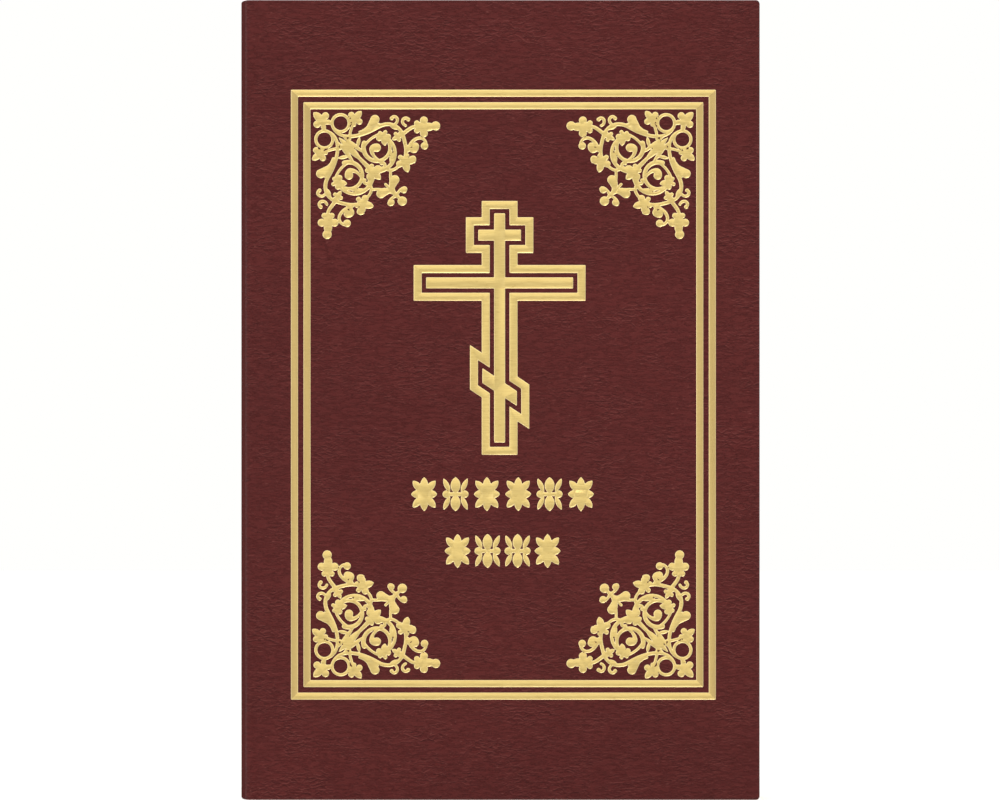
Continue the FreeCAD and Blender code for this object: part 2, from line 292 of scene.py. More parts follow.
def sd_ivy(x, z, cx, cz, size, heading):
    """A lobed leaf: a long middle lobe, two side lobes and two small ones beside the stalk."""
    ahead = math.radians(heading)
    point = (cx + 1.25 * size * math.cos(ahead), cz + 1.25 * size * math.sin(ahead))
    distance = np.minimum(sd_disc(x, z, cx, cz, size * 0.42),
                          sd_leaf(x, z, (cx, cz), point, size * 0.72))
    for turn, reach, lobe in ((68, 0.6, 0.34), (-68, 0.6, 0.34), (140, 0.5, 0.24), (-140, 0.5, 0.24)):
        angle = math.radians(heading + turn)
        px, pz = cx + size * reach * math.cos(angle), cz + size * reach * math.sin(angle)
        distance = np.minimum(distance, sd_disc(x, z, px, pz, size * lobe))
    return distance


def sd_comma(x, z, points, ball):
    """A leaf that swells from a thin stalk to a round end."""
    path = curve_points(*points)
    return sd_stroke(x, z, path, (0.26, 0.34, 0.5 * ball, 0.85 * ball, ball))


def sd_curl(x, z, cx, cz, radius, start, end):
    """A tendril that winds inwards and ends in a small ball."""
    path = arc_points(cx, cz, radius, start, end, 20, radius * 0.45)
    ball = sd_disc(x, z, *path[-1], max(0.42 * radius, 0.4))
    return np.minimum(sd_stroke(x, z, path, (0.3, 0.34, 0.3)), ball)


def half_vine(u, v):
    """The half of a corner vine along one leg. The corner is at u = v = 0 and the leg runs along u."""
    parts = [
        # a loop beside the corner leaf, and the leaf that closes it
        sd_stroke(u, v, curve_points((2.8, 2.6), (3.4, 3.0), (4.0, 3.1), (4.7, 3.0)), (0.36, 0.3)),
        sd_stroke(u, v, arc_points(6.5, 3.0, 1.85, 0, 360, 26), (0.33,)),
        sd_ivy(u, v, 9.4, 2.3, 2.0, -50),
        sd_stroke(u, v, curve_points((9.2, 2.8), (8.9, 4.2), (8.4, 5.0), (8.5, 6.4)), (0.3, 0.3)),
        # the long stem: over the loop, down to the frame and up again to the last trefoil
        sd_stroke(u, v, curve_points((4.9, 4.0), (6.2, 6.6), (10.2, 6.4), (14.4, 3.9)), (0.3, 0.36, 0.42)),
        sd_stroke(u, v, curve_points((14.4, 3.9), (16.6, 2.6), (18.8, 3.2), (19.8, 5.2)), (0.42, 0.36)),
        sd_comma(u, v, ((10.6, 4.9), (12.0, 4.6), (13.2, 3.6), (13.9, 2.2)), 0.98),
        sd_leaf(u, v, (11.2, 4.6), (15.0, 3.0), 1.1),
        sd_curl(u, v, 17.9, 2.2, 1.0, 60, -150),
        sd_leaf(u, v, (17.0, 3.4), (19.2, 4.3), 1.0),
        sd_stroke(u, v, curve_points((19.6, 5.4), (20.8, 5.0), (21.4, 3.6), (23.2, 3.7)), (0.42, 0.36)),
        sd_curl(u, v, 20.7, 2.5, 1.05, 100, 320),
        sd_ivy(u, v, 23.9, 3.8, 2.5, 0),
        sd_stroke(u, v, [(25.2, 3.7), (26.6, 3.6)], (0.3, 0.3)),
        sd_disc(u, v, 27.0, 3.6, 0.98),
        # the hook above the trefoil
        sd_comma(u, v, ((20.2, 7.2), (21.4, 9.2), (22.6, 9.4), (22.6, 8.0)), 0.82),
        sd_stroke(u, v, curve_points((21.0, 8.9), (21.8, 6.0), (24.2, 5.4), (24.9, 7.2)), (0.4, 0.34, 0.3)),
        sd_disc(u, v, 24.6, 7.9, 0.8),
        # stem and leaves between the long stem and the outer trefoil
        sd_stroke(u, v, curve_points((19.8, 5.2), (20.6, 7.6), (20.8, 9.0), (20.4, 10.4)), (0.4, 0.34)),
        sd_ivy(u, v, 20.3, 11.0, 2.2, 75),
        sd_stroke(u, v, curve_points((21.4, 10.6), (22.4, 9.8), (22.8, 10.6), (22.4, 11.4)), (0.3, 0.24)),
        sd_ivy(u, v, 19.0, 5.8, 1.3, 150),
        # the scroll with its comma leaf and the broad leaf below
        sd_stroke(u, v, arc_points(14.4, 8.3, 3.0, 200, -55, 34, 2.7), (0.5, 0.4, 0.32)),
        sd_comma(u, v, ((14.6, 10.9), (12.8, 9.8), (12.9, 8.0), (14.3, 8.3)), 0.9),
        sd_ivy(u, v, 15.7, 5.7, 1.8, 80),
        sd_stroke(u, v, curve_points((11.2, 8.8), (11.8, 7.2), (13.2, 6.0), (14.8, 5.4)), (0.3, 0.28)),
        sd_leaf(u, v, (10.1, 8.3), (10.6, 5.9), 0.8),
        # the outer arc from the diagonal leaf round the scroll
        sd_stroke(u, v, curve_points((13.6, 13.6), (18.4, 13.4), (19.6, 8.6), (16.6, 6.2)),
                  (0.44, 0.4, 0.32)),
        sd_leaf(u, v, (17.3, 12.0), (17.6, 8.8), 0.8),
        sd_stroke(u, v, curve_points((16.4, 12.9), (17.8, 13.6), (18.8, 12.6), (19.8, 11.4)), (0.34, 0.3)),
        sd_curl(u, v, 15.5, 12.0, 0.8, 150, -120),
        # leaf and curl at the point of the diagonal
        sd_comma(u, v, ((19.0, 18.8), (17.4, 17.6), (17.4, 16.4), (18.2, 15.2)), 0.98),
        sd_stroke(u, v, curve_points((17.3, 13.4), (17.2, 14.6), (17.3, 16.4), (18.0, 17.8)), (0.3, 0.3)),
        sd_stroke(u, v, curve_points((18.6, 18.6), (19.0, 17.4), (20.4, 16.4), (20.6, 17.2)), (0.32, 0.3)),
        sd_disc(u, v, 20.1, 17.4, 0.74),
    ]
    distance = parts[0]
    for part in parts[1:]:
        distance = np.minimum(distance, part)
    return distance


def corner_vine(u, v):
    """A whole corner vine, the same on both sides of the diagonal."""
    a, b = np.maximum(u, v), np.minimum(u, v)
    distance = half_vine(a, b)
    for part in (
        sd_ivy(a, b, 2.7, 2.7, 2.3, 225),
        sd_leaf(a, b, (6.0, 6.0), (11.2, 11.2), 1.5),
        sd_leaf(a, b, (6.9, 5.9), (11.8, 9.6), 0.9),
        sd_stroke(a, b, [(10.4, 10.4), (12.6, 12.6)], (0.36, 0.5)),
        sd_ivy(a, b, 13.3, 13.3, 2.1, 45),
        sd_stroke(a, b, [(16.2, 16.2), (19.2, 19.2)], (0.3, 0.3)),
        sd_disc(a, b, 19.8, 19.8, 1.0),
    ):
        distance = np.minimum(distance, part)
    return distance


def cross_outline(x, z, grow):
    """Three-bar cross grown by a margin."""
    half = CROSS_HALF + grow
    tilt = math.hypot(1, FOOT_SLOPE)
    tall = (CROSS_TOP_Z - CROSS_FOOT_Z) / 2
    stem = sd_box(x, z, CROSS_X, CROSS_FOOT_Z + tall, half, tall + grow)
    top, main = (sd_box(x, z, CROSS_X, level, reach + grow, half) for level, reach in (TOP_BAR, MAIN_BAR))
    across = np.abs(z - FOOT_Z + FOOT_SLOPE * (x - CROSS_X)) / tilt - (FOOT_THICK / 2 / tilt + grow)
    foot = np.maximum(across, np.abs(x - CROSS_X) - FOOT_HALF - grow)
    return np.minimum(np.minimum(stem, top), np.minimum(main, foot))


def rosette(x, z):
    """Eight petals round a centre, higher than wide."""
    x, z = np.abs(x), np.abs(z)
    distance = np.minimum(sd_leaf(x, z, (0, 0.2), (0, 3.67), 1.7), sd_leaf(x, z, (0.1, 0), (2.8, 0), 1.7))
    distance = np.minimum(distance, sd_leaf(x, z, (0.4, 0.5), (2.45, 2.9), 1.5))
    return np.minimum(distance, sd_disc(x, z, 0, 0, 1.0))


def bud_pair(x, z):
    """Two buds point to point between two pairs of leaves."""
    x, z = np.abs(x), np.abs(z)
    distance = np.minimum(sd_leaf(x, z, (0, 0.1), (0, 3.67), 2.1), sd_disc(x, z, 2.0, 0, 0.8))
    distance = np.minimum(distance, sd_leaf(x, z, (1.2, 0.4), (2.6, 3.4), 1.1))
    return np.minimum(distance, sd_box(x, z, 0, 0, 2.0, 0.42))


def frame_band(x, z, inset):
    cx, cz = FRAME_CENTRE
    outer = sd_box(x, z, cx, cz, FRAME_HALF[0] - inset, FRAME_HALF[1] - inset)
    inner = sd_box(x, z, cx, cz, FRAME_HALF[0] - inset - FRAME_BAND, FRAME_HALF[1] - inset - FRAME_BAND)
    return np.maximum(outer, -inner)


def corner_vines(x, z):
    cx, cz = FRAME_CENTRE
    inset = 2 * FRAME_BAND + FRAME_GAP
    u = FRAME_HALF[0] - inset - np.abs(x - cx)
    v = FRAME_HALF[1] - inset - np.abs(z - cz)
    near = (u < VINE_REACH) & (v < VINE_REACH) & (u > -1) & (v > -1)
    distance = np.full(x.shape, FAR)
    distance[near] = corner_vine(u[near], v[near])
    return distance


def title_ornament(x, z):
    distance = np.full(x.shape, FAR)
    for row_z, count, length in TITLE_ROWS:
        pitch = (length - MOTIF_WIDTH) / (count - 1)
        for k in range(count):
            motif = bud_pair if min(k, count - 1 - k) % 2 else rosette
            centre = TITLE_X + (k - (count - 1) / 2) * pitch
            near = (np.abs(x - centre) < pitch) & (np.abs(z - row_z) < 4.5)
            distance[near] = np.minimum(distance[near], motif(x[near] - centre, z[near] - row_z))
    return distance


def foil_distances(x, z):
    """Distance to the edge of each foil element on the front cover, under the name of its node."""
    border = np.maximum(cross_outline(x, z, BORDER_GAP + BORDER_BAND), -cross_outline(x, z, BORDER_GAP))
    return {
        "gilt_outer_frame": frame_band(x, z, 0),
        "gilt_inner_frame": frame_band(x, z, FRAME_BAND + FRAME_GAP),
        "gilt_cross": cross_outline(x, z, 0),
        "gilt_cross_border": border,
        "gilt_corner_vines": corner_vines(x, z),
        "gilt_title_ornament": title_ornament(x, z),
    }


def foil_distance(x, z):
    return np.minimum.reduce(list(foil_distances(x, z).values()))


# ---- contours and triangles of the foil design ----

def contour_loops(field, xs, zs, level):
    """Closed loops where a sampled field crosses a level."""
    inside = field < level
    a, b, c, d = inside[:-1, :-1], inside[:-1, 1:], inside[1:, 1:], inside[1:, :-1]
    mixed = np.argwhere(~((a == b) & (b == c) & (c == d)))
    links = {}

    def crossing(i, j, across):
        i2, j2 = (i, j + 1) if across else (i + 1, j)
        f, g = field[i, j], field[i2, j2]
        t = (level - f) / (g - f)
        return (xs[j] + (xs[j2] - xs[j]) * t, zs[i] + (zs[i2] - zs[i]) * t)

    def link(p, q):
        links.setdefault(p, []).append(q)
        links.setdefault(q, []).append(p)

    for i, j in mixed:
        corner = (inside[i, j], inside[i, j + 1], inside[i + 1, j + 1], inside[i + 1, j])
        sides = ((i, j, True), (i, j + 1, False), (i + 1, j, True), (i, j, False))
        cut = [side for k, side in enumerate(sides) if corner[k] != corner[(k + 1) % 4]]
        if len(cut) == 2:
            link(cut[0], cut[1])
        else:
            middle = (field[i:i + 2, j:j + 2].mean() < level) == corner[0]
            pairs = ((0, 1), (2, 3)) if middle else ((3, 0), (1, 2))
            for p, q in pairs:
                link(sides[p], sides[q])
    loops, seen = [], set()
    for start in links:
        if start in seen:
            continue
        loop, here, previous = [], start, None
        while here not in seen:
            seen.add(here)
            loop.append(crossing(*here))
            onward = [n for n in links[here] if n != previous and n not in seen]
            if not onward:
                break
            previous, here = here, onward[0]
        loops.append(loop)
    return loops


def loop_area(loop):
    x, z = np.array(loop).T
    return abs(np.sum(x * np.roll(z, -1) - z * np.roll(x, -1))) / 2


def simplify(loop, tolerance):
    """Drops the points of a loop that lie on the line between those kept."""
    points = np.array(loop)
    if len(points) < 8:
        return points
    keep = np.zeros(len(points), bool)
    far = int(np.argmax(np.hypot(*(points - points[0]).T)))
    keep[[0, far]] = True
    closed = np.vstack([points, points[:1]])
    stack = [(0, far), (far, len(points))]
    while stack:
        i, j = stack.pop()
        if j - i < 2:
            continue
        a, b = closed[i], closed[j]
        span = b - a
        rel = closed[i + 1:j] - a
        off = np.abs(rel[:, 0] * span[1] - rel[:, 1] * span[0]) / max(np.hypot(*span), 1e-9)
        k = int(np.argmax(off))
        if off[k] > tolerance:
            k += i + 1
            keep[k] = True
            stack += [(i, k), (k, j)]
    return points[keep]


def triangulate_foil(border):
    """Triangles of the front face, cut along the foil's edges and along the foot of its rim.

    Each triangle gets the number of its foil element, or -1 for bare leather."""
    step = 0.16
    cx, cz = FRAME_CENTRE
    xs = np.arange(cx - FRAME_HALF[0] - 1, cx + FRAME_HALF[0] + 1, step)
    zs = np.arange(cz - FRAME_HALF[1] - 1, cz + FRAME_HALF[1] + 1, step)
    field = foil_distance(*np.meshgrid(xs, zs))
    points, edges = [], []
    for loop in [np.array(border)] + [
            simplify(loop, 0.012) for level in (0.0, -FOIL_RIM)
            for loop in contour_loops(field, xs, zs, level) if loop_area(loop) > SMALLEST_HOLE]:
        start = len(points)
        points += [tuple(p) for p in loop]
        edges += [(start + k, start + (k + 1) % len(loop)) for k in range(len(loop))]
    verts, _, faces, _, _, _ = delaunay_2d_cdt([Vector(p) for p in points], edges, [], 0, 1e-5)
    verts = np.array([tuple(v) for v in verts])
    faces = np.array([tuple(face) for face in faces])
    centres = verts[faces].mean(axis=1)
    elements = foil_distances(centres[:, 0], centres[:, 1])
    nearest = np.argmin(np.array(list(elements.values())), axis=0)
    element = np.where(foil_distance(centres[:, 0], centres[:, 1]) < 0, nearest, -1)
    return verts, faces, element, list(elements)


# ---- case ----

def rounded_loop(inset, height_y, corner_radius):
    """Points round the three free sides of a cover, from the spine side's tail to its head."""
    radius = max(corner_radius - inset, 0.02)
    x1, z0, z1 = FORE_X - inset, inset, HEIGHT - inset
    points = [(BOARD_X, height_y, z0)]
    rungs = 24
    points += [(BOARD_X + (x1 - radius - BOARD_X) * k / rungs, height_y, z0) for k in range(1, rungs)]
    for centre, start in (((x1 - radius, z0 + radius), -90), ((x1 - radius, z1 - radius), 0)):
        for k in range(7):
            angle = math.radians(start + 15 * k)
            x, z = centre[0] + radius * math.cos(angle), centre[1] + radius * math.sin(angle)
            points.append((x, height_y, z))
        if start == -90:
            tall = z1 - z0 - 2 * radius
            points += [(x1, height_y, z0 + radius + tall * k / rungs) for k in range(1, rungs)]
    points += [(x1 - radius + (BOARD_X - x1 + radius) * k / rungs, height_y, z1) for k in range(1, rungs)]
    points.append((BOARD_X, height_y, z1))
    return points


def edge_profile():
    """Insets and levels of a cover's leather, from its face round the board's edge to under the pastedown."""
    profile = []
    for k in range(6):
        angle = k / 5 * math.pi / 2
        profile.append((EDGE_ROUND * (1 - math.sin(angle)), COVER_OUT - EDGE_ROUND * (1 - math.cos(angle))))
    for k in range(5):
        angle = k / 4 * math.pi / 2
        profile.append((TURN_IN_ROUND * (1 - math.cos(angle)),
                        TURN_IN_Y + TURN_IN_ROUND * (1 - math.sin(angle))))
    profile.append((TURN_IN_WIDTH / 2, TURN_IN_Y))
    profile.append((TURN_IN_WIDTH, TURN_IN_Y))
    profile.append((TURN_IN_WIDTH, TURN_IN_Y + TURN_IN_LAP))
    return profile


def cover_skin(name, material, gold):
    """A cover's leather: face, rounded edges and turn-ins.

    With gold it is the front cover: the face is open under the foil, and the foil is made too."""
    side = -1 if gold else 1
    loops = [rounded_loop(inset, side * level, CORNER_ROUND) for inset, level in edge_profile()]
    points, faces = loft(loops, False, False)
    rim = loops[0]
    foil = {}
    if gold:
        verts, triangles, element, names = triangulate_foil([(x, z) for x, _, z in rim])
        start = len(points)
        depth = FOIL_DEPTH * np.clip(-foil_distance(verts[:, 0], verts[:, 1]) / FOIL_RIM, 0, 1)
        places = [(x, side * COVER_OUT + d, z) for (x, z), d in zip(verts, depth)]
        points += places
        faces += [tuple(start + i for i in face) for face in triangles[element < 0]]
        for number, node in enumerate(names):
            foil[node] = foil_piece(node, places, triangles[element == number], gold)
    else:
        faces.append(tuple(range(len(rim))))
    obj = make_object(name, points, faces, material)
    tidy_mesh(obj, outward=(0, side, 0))
    return obj, foil


def foil_piece(node, places, triangles, gold):
    """One foil element, with each point's share of the full depth kept for the material, which paints a
    highlight on the shallow rim with it.
    """
    used = np.unique(triangles)
    order = {int(v): i for i, v in enumerate(used)}
    faces = [tuple(order[int(v)] for v in face) for face in triangles]
    obj = make_object(f"{node}_foil", [places[v] for v in used], faces, gold, 60)
    tidy_mesh(obj, outward=(0, -1, 0))
    levels = [(COVER_OUT + vertex.co.y / MM) / FOIL_DEPTH for vertex in obj.data.vertices]
    obj.data.attributes.new("depth", "FLOAT", "POINT").data.foreach_set("value", levels)
    return obj


def tidy_mesh(obj, outward=None):
    """Joins doubled points, drops loose ones and turns the faces outwards."""
    work = bmesh.new()
    work.from_mesh(obj.data)
    bmesh.ops.remove_doubles(work, verts=work.verts, dist=0.004 * MM)
    loose = [v for v in work.verts if not v.link_faces]
    bmesh.ops.delete(work, geom=loose, context="VERTS")
    bmesh.ops.recalc_face_normals(work, faces=work.faces)
    if outward is not None:
        way = Vector(outward)
        flat = sorted(work.faces, key=lambda f: -f.calc_area())[0]
        if flat.normal.dot(way) < 0:
            bmesh.ops.reverse_faces(work, faces=work.faces)
    work.to_mesh(obj.data)
    work.free()
    obj.data.update()


def spine_arc_x(radius, y):
    return SPINE_CENTRE_X - math.sqrt(radius ** 2 - y ** 2)


def panel_path():
    """The outer face of the spine panel in plan, from the back cover's side to the front's."""
    steps = 24
    ys = [PANEL_HALF - 2 * PANEL_HALF * k / steps for k in range(steps + 1)]
    return [(spine_arc_x(SPINE_RADIUS, y), y) for y in ys]


def corner_path():
    """The outer face from the spine panel round to the front hinge line."""
    start = (spine_arc_x(SPINE_RADIUS, PANEL_HALF), -PANEL_HALF)
    bottom = (HINGE.x + 0.1, -GROOVE_OUT)
    return bezier(start, (start[0] - 0.02, start[1] - 1.5), (start[0] + 0.35, bottom[1]), bottom, 20)


def groove_path():
    """The outer face from the front hinge line up to the board's face."""
    bottom = (HINGE.x + 0.1, -GROOVE_OUT)
    end = (BOARD_X, -COVER_OUT)
    return bezier(bottom, (bottom[0] + 0.7, bottom[1]), (end[0] - 0.8, end[1]), end, 12)


def gutter_path():
    """The endpaper's fold between pastedown and flyleaf, tucked into the joint while the book is shut."""
    leaf_y = low("front_flyleaf").y - 0.03
    bottom = (HINGE.x + 0.9, -GUTTER_DEPTH)
    board = (BOARD_X - 0.06, leaf_y - 0.1)
    down = bezier((LEAF_X, leaf_y), (LEAF_X - 0.15, leaf_y - 0.5), (bottom[0] - 0.4, bottom[1]), bottom, 12)
    up = bezier(bottom, (BOARD_X - 0.3, bottom[1]), (board[0] - 0.02, board[1] - 0.6), board, 12)
    return down + up[1:]


def standing_sheet(name, path, thickness, material, mirrored, z0=0.0, z1=HEIGHT):
    points, faces = sheet(path, thickness, z0, z1, min(thickness / 2 - 0.01, EDGE_SOFT))
    if mirrored:
        points, faces = mirror_points(points), mirror_faces(faces)
    obj = make_object(name, points, faces, material)
    tidy_mesh(obj)
    return obj


def build_case(leather, gold, endpaper):
    front, foil = cover_skin("front_cover_leather", leather, gold)
    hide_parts("front_leatherette")
    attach(front, "front_cover")
    for node, piece in foil.items():
        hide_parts(node)
        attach(piece, "front_cover")
    back, _ = cover_skin("back_cover_leather", leather, None)
    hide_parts("back_leatherette")
    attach(back, "back_cover")
    panel = standing_sheet("spine_leather", panel_path(), SPINE_WALL, leather, False)
    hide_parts("spine_leatherette", "spine_inlay")
    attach(panel, "spine")
    skins = [front, back, panel]
    for word, side, outer in (("front", -1, FIRST_SECTION), ("back", 1, LAST_SECTION)):
        mirrored = side > 0
        corner = standing_sheet(f"{word}_corner_leather", corner_path(), JOINT_WALL, leather, mirrored)
        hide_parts(f"{word}_joint_leatherette")
        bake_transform(corner)
        groove = standing_sheet(f"{word}_groove_leather", groove_path(), JOINT_WALL, leather, mirrored)
        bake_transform(groove)
        skins += [corner, groove]
        fold = standing_sheet(f"{word}_endpaper_fold", gutter_path(), PAPER, endpaper, mirrored, *BLOCK_Z)
        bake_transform(fold)


# ---- text block ----

def leaf_slab(y, thickness, random):
    """Points and faces of one leaf of the text block, with a slightly uneven trim."""
    spine = spine_arc_x(BLOCK_RADIUS, y) + random.uniform(0, TRIM)
    fore = BLOCK_FORE_X - (spine_arc_x(BLOCK_RADIUS, BLOCK_HALF) - spine_arc_x(BLOCK_RADIUS, y))
    fore -= random.uniform(0, TRIM)
    z0 = BLOCK_Z[0] + random.uniform(0, TRIM)
    z1 = BLOCK_Z[1] - random.uniform(0, TRIM)
    columns = 8
    rows = []
    for k in range(columns + 1):
        x = spine + (fore - spine) * k / columns
        rows.append([(x, y - thickness / 2, z0), (x, y + thickness / 2, z0),
                     (x, y + thickness / 2, z1), (x, y - thickness / 2, z1)])
    return loft(rows, True, True)


def leaf_stack(name, ys, material, random):
    """Many leaves in one mesh."""
    points, faces = [], []
    for y in ys:
        slab_points, slab_faces = leaf_slab(y, LEAF_PITCH * LEAF_SHARE, random)
        faces += [tuple(i + len(points) for i in face) for face in slab_faces]
        points += slab_points
    obj = make_object(name, points, faces, material)
    return obj


def build_leaves(paper):
    """Leaves in stacks between the middles of neighbouring sections, each stack in place of a section's part;
    the leaves beyond the outermost middle go with the outermost section.
    """
    random = np.random.default_rng(SEED)
    half = SECTION_COUNT // 2
    for side in (-1, 1):
        numbers = [half - k if side < 0 else half + 1 + k for k in range(half)]
        bodies = ["block_core"] + [f"section_{n:02d}" for n in numbers]
        middles = [MARKER_GAP / 2] + [MARKER_GAP / 2 + SECTION * (k + 0.5) for k in range(half)]
        levels = [MARKER_GAP / 2 + LEAF_PITCH * (k + 0.5) for k in range(half * LEAVES_PER_SECTION)]
        for k in range(half):
            ys = [side * y for y in levels if middles[k] < y < middles[k + 1]]
            stack = leaf_stack(f"leaves_before_{bodies[k + 1]}", ys, paper, random)
            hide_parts(bodies[k + 1])
            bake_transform(stack)
        outer = leaf_stack(f"leaves_outside_{bodies[-1]}", [side * y for y in levels if y > middles[-1]],
                           paper, random)
        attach(outer, bodies[-1])


def build_loose_leaf(node, material):
    """A single leaf, its columns set closer together near the spine."""
    lo, hi = low(node), high(node)
    columns = 48
    rows = []
    for k in range(columns + 1):
        x = lo.x + (hi.x - lo.x) * (k / columns) ** 1.6
        rows.append([(x, lo.y, lo.z), (x, hi.y, lo.z), (x, hi.y, hi.z), (x, lo.y, hi.z)])
    points, faces = loft(rows, True, True)
    obj = make_object(f"{node}_sheet", points, faces, material)
    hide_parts(node)
    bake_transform(obj)


# ---- headbands and marker ----

def build_headband(node, base_z, up, silks):
    """Wraps of silk over a cord, a few to each section, so that the band fans with the block."""
    wraps = 6
    width = SECTION / wraps
    for number in range(1, SECTION_COUNT + 1):
        middle = (low(f"section_{number:02d}").y + high(f"section_{number:02d}").y) / 2
        points, faces, tones = [], [], []
        for wrap in range(wraps):
            y = middle - SECTION / 2 + width * (wrap + 0.5)
            centre = (spine_arc_x(BLOCK_RADIUS, y) + HEADBAND_CORD - HEADBAND_OVERLAP,
                      base_z + up * HEADBAND_CORD)
            rows = []
            for k in range(7):
                t = k / 6
                swell = 0.86 + 0.14 * math.sin(math.pi * t)
                row_y = y + (t - 0.5) * width * 0.98
                radius = HEADBAND_CORD * swell
                rows.append([(centre[0] + radius * math.cos(a), row_y, centre[1] + radius * math.sin(a))
                             for a in (2 * math.pi * j / 20 for j in range(20))])
            wrap_points, wrap_faces = loft(rows, True, True)
            faces += [tuple(i + len(points) for i in face) for face in wrap_faces]
            points += wrap_points
            tones += [wrap // 3] * len(wrap_faces)
        obj = make_object(f"{node}_{number:02d}", points, faces, silks[0])
        obj.data.materials.append(silks[1])
        obj.data.polygons.foreach_set("material_index", tones)
        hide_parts(node)
        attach(obj, f"section_{number:02d}")


def build_marker(silk):
    """The ribbon: from under the headband over the head, then down the middle opening."""
    lo, hi = low("ribbon_marker"), high("ribbon_marker")
    half = (hi.x - lo.x) / 2
    twist_z = BLOCK_Z[1] - MARKER_TWIST
    steps = 80
    drop = []
    for k in range(steps + 1):
        z = lo.z + (twist_z - lo.z) * k / steps
        drift = MARKER_DRIFT * math.sin(2 * math.pi * k / steps * 0.7) * (1 - k / steps)
        drop.append((Vector((lo.x + half + drift, 0, z)), Vector((1, 0, 0)), half))
    # A quarter twist lays it flat on the head edges of the leaves, a little gathered.
    turn = []
    for k in range(1, 9):
        t = k / 8
        angle = t * math.pi / 2
        centre = Vector((lo.x + half - MARKER_LEAN * t ** 1.5, 0,
                         twist_z + (MARKER_TWIST + MARKER_LIFT) * math.sin(angle)))
        turn.append((centre, Vector((math.cos(angle), math.sin(angle), 0)), half * (1 - MARKER_GATHER * t)))
    last = turn[-1][0]
    flat = [(Vector((last.x - MARKER_FLAT * t, 0, last.z)), Vector((0, 1, 0)), half * (1 - MARKER_GATHER))
            for t in (0.25, 0.5, 0.75, 1.0)]
    path = drop + turn + flat
    rows = []
    for k, (centre, across, reach) in enumerate(path):
        along = path[min(k + 1, len(path) - 1)][0] - path[max(k - 1, 0)][0]
        thin = across.cross(along).normalized() * MARKER_THICK / 2
        notch = Vector((0, 0, MARKER_NOTCH if k == 0 else 0.0))
        rows.append([centre - across * reach - thin, centre + notch - thin, centre + across * reach - thin,
                     centre + across * reach + thin, centre + notch + thin, centre - across * reach + thin])
    points, faces = loft(rows, True, True)
    obj = make_object("marker_ribbon", points, faces, silk)
    tidy_mesh(obj)
    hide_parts("ribbon_marker")
    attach(obj, "block_core")


# ---- materials ----

